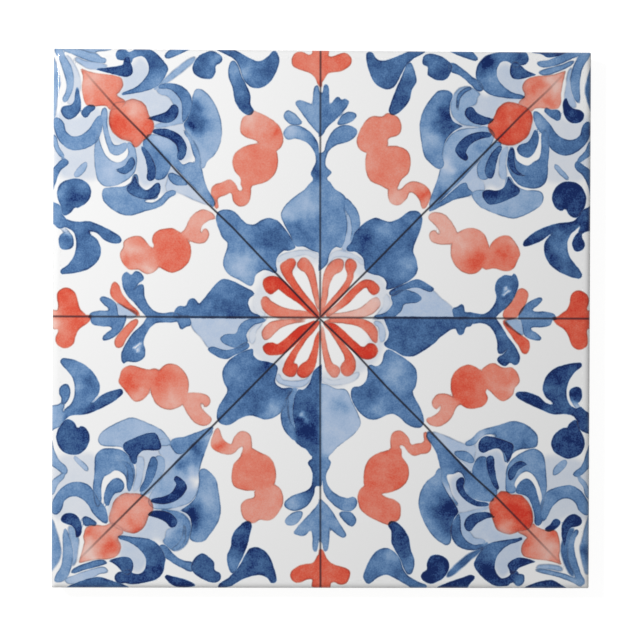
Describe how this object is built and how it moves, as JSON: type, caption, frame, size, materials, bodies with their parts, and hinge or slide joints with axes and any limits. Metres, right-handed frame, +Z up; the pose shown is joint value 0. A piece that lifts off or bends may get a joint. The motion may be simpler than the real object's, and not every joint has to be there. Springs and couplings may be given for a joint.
{
  "type": "talavera tile",
  "caption": "Square glazed ceramic wall tile with a cushion edge, a painted talavera ornament in blue and coral, and a keyed unglazed back for adhesive.",
  "frame": {"origin": "middle of the back, on the rib tops that the tile rests on", "axes": "+Z up through the glazed face, +X and +Y along the edges, with +Y to the top of the ornament"},
  "size_m": [0.108, 0.108, 0.0065],
  "materials": {
    "glazed_tile": "glossy white glaze with blue and coral decoration on the face, bare biscuit on the back"
  },
  "bodies": {
    "root": {"talavera_tile": "glazed_tile"}
  },
  "joints": []
}
